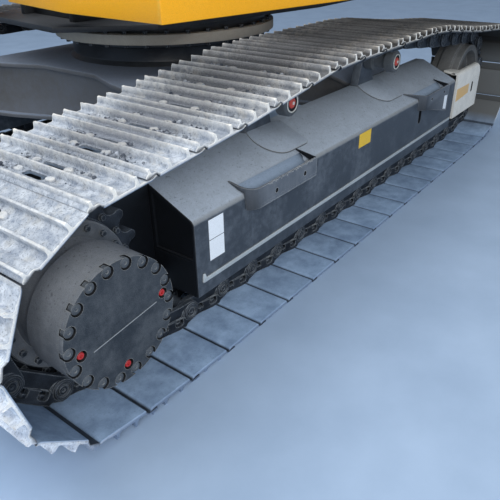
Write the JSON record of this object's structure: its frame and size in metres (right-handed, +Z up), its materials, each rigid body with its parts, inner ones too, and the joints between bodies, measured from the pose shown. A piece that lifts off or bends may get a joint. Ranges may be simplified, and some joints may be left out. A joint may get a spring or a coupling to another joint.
{
  "type": "crawler excavator undercarriage",
  "caption": "Two steel crawler tracks on a car body, with final drives, idlers, rollers and a slew bearing that carries a turning frame for the upper structure.",
  "frame": {"origin": "on the ground, under the slew axis", "axes": "+X along the tracks towards the idlers, +Y to the left track, +Z up"},
  "size_m": [4.097, 2.9365, 1.715],
  "materials": {
    "shoe_steel": "worn, dusty track steel with bright grouser edges",
    "running_gear_iron": "dark forged iron, dusty",
    "frame_paint": "charcoal paint, dusty",
    "guard_paint": "charcoal paint under thick dust",
    "drum_paint": "grey paint under pale dust",
    "roller_paint": "grey paint, dusty, with a red cap",
    "bearing_steel": "dark oiled steel",
    "black_paint": "black paint, satin",
    "yellow_paint": "yellow enamel, satin"
  },
  "bodies": {
    "undercarriage": {"car_body": "frame_paint", "slew_tub": "frame_paint", "slew_inner_ring": "bearing_steel", "swivel_joint": "frame_paint", "track_frame_right": "frame_paint", "track_frame_left": "frame_paint", "drive_bracket_right": "frame_paint", "drive_bracket_left": "frame_paint", "steps_right": "frame_paint", "steps_left": "frame_paint", "idler_guard_right": "guard_paint", "idler_guard_left": "guard_paint", "idler_yoke_right": "frame_paint", "idler_yoke_left": "frame_paint", "idler_right": "running_gear_iron", "idler_left": "running_gear_iron", "sprocket_right": "running_gear_iron", "sprocket_left": "running_gear_iron", "final_drive_right": "drum_paint", "final_drive_left": "drum_paint", "travel_motor_right": "frame_paint", "travel_motor_left": "frame_paint", "carrier_rollers_right": "roller_paint", "carrier_rollers_left": "roller_paint", "carrier_brackets_right": "frame_paint", "carrier_brackets_left": "frame_paint", "track_rollers_right": "running_gear_iron", "track_rollers_left": "running_gear_iron", "roller_collars_right": "running_gear_iron", "roller_collars_left": "running_gear_iron", "track_chain_right": "running_gear_iron", "track_chain_left": "running_gear_iron", "track_shoes_right": "shoe_steel", "track_shoes_left": "shoe_steel"},
    "turning_frame": {"slew_outer_ring": "bearing_steel", "bottom_plate": "black_paint", "cheek_plate_right": "black_paint", "cheek_plate_left": "black_paint", "side_rail_right": "yellow_paint", "side_rail_left": "yellow_paint", "front_panel_right": "yellow_paint", "front_panel_left": "yellow_paint", "cross_beams": "black_paint", "rear_beam": "black_paint"}
  },
  "joints": [
    {"name": "swing", "type": "hinge", "parent": "undercarriage", "child": "turning_frame", "pos_m": [0, 0, 0.88], "axis": [0, 0, 1], "continuous": true}
  ]
}
